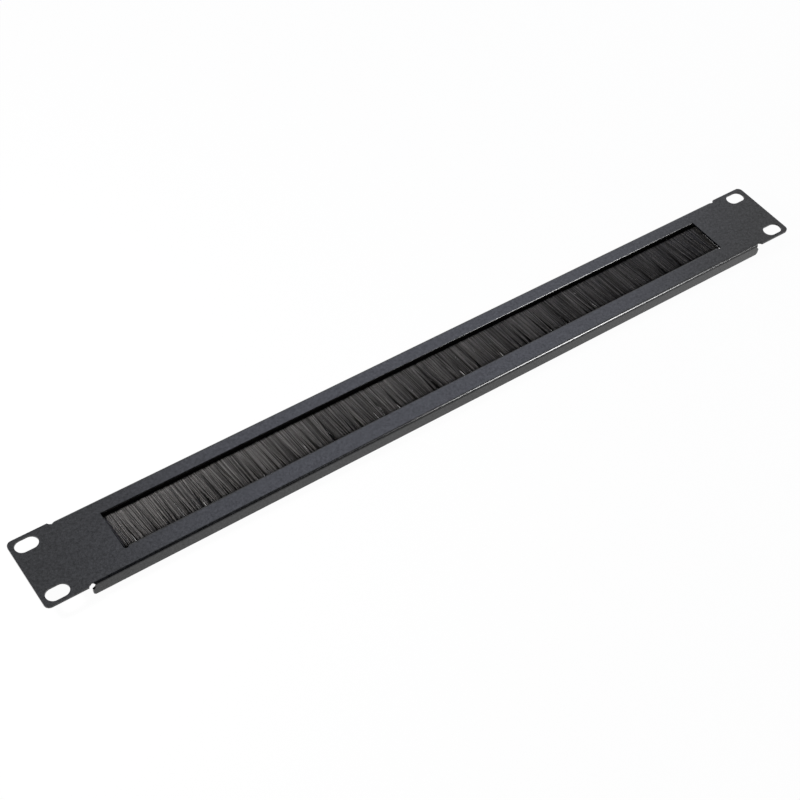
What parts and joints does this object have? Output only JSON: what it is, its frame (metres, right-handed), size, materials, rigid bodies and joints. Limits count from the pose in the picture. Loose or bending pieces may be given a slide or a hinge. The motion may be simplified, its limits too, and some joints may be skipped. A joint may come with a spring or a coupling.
{
  "type": "rack brush strip panel",
  "caption": "Flat black rack panel with slotted ears and folded long edges, whose wide window is closed by a strip of dense filaments that cables pass through.",
  "frame": {"origin": "middle of the plane that the edges of the two long flanges lie on, under the middle of the panel", "axes": "+X along the panel, +Y across it towards the side that holds the brush, +Z out of the panel's front face"},
  "size_m": [0.482, 0.043, 0.0083],
  "materials": {
    "powder_coat": "semi-matt black powder coat with a fine texture",
    "anodised_rail": "black anodised",
    "channel_steel": "zinc-plated strip",
    "wire_steel": "drawn, bare",
    "filament": "black nylon filament, satin",
    "screw_steel": "blackened steel"
  },
  "bodies": {
    "root": {"front_panel": "powder_coat", "brush_rail": "anodised_rail", "brush_channel": "channel_steel", "core_wire": "wire_steel", "bristles": "filament", "rail_screws": "screw_steel"}
  },
  "joints": []
}
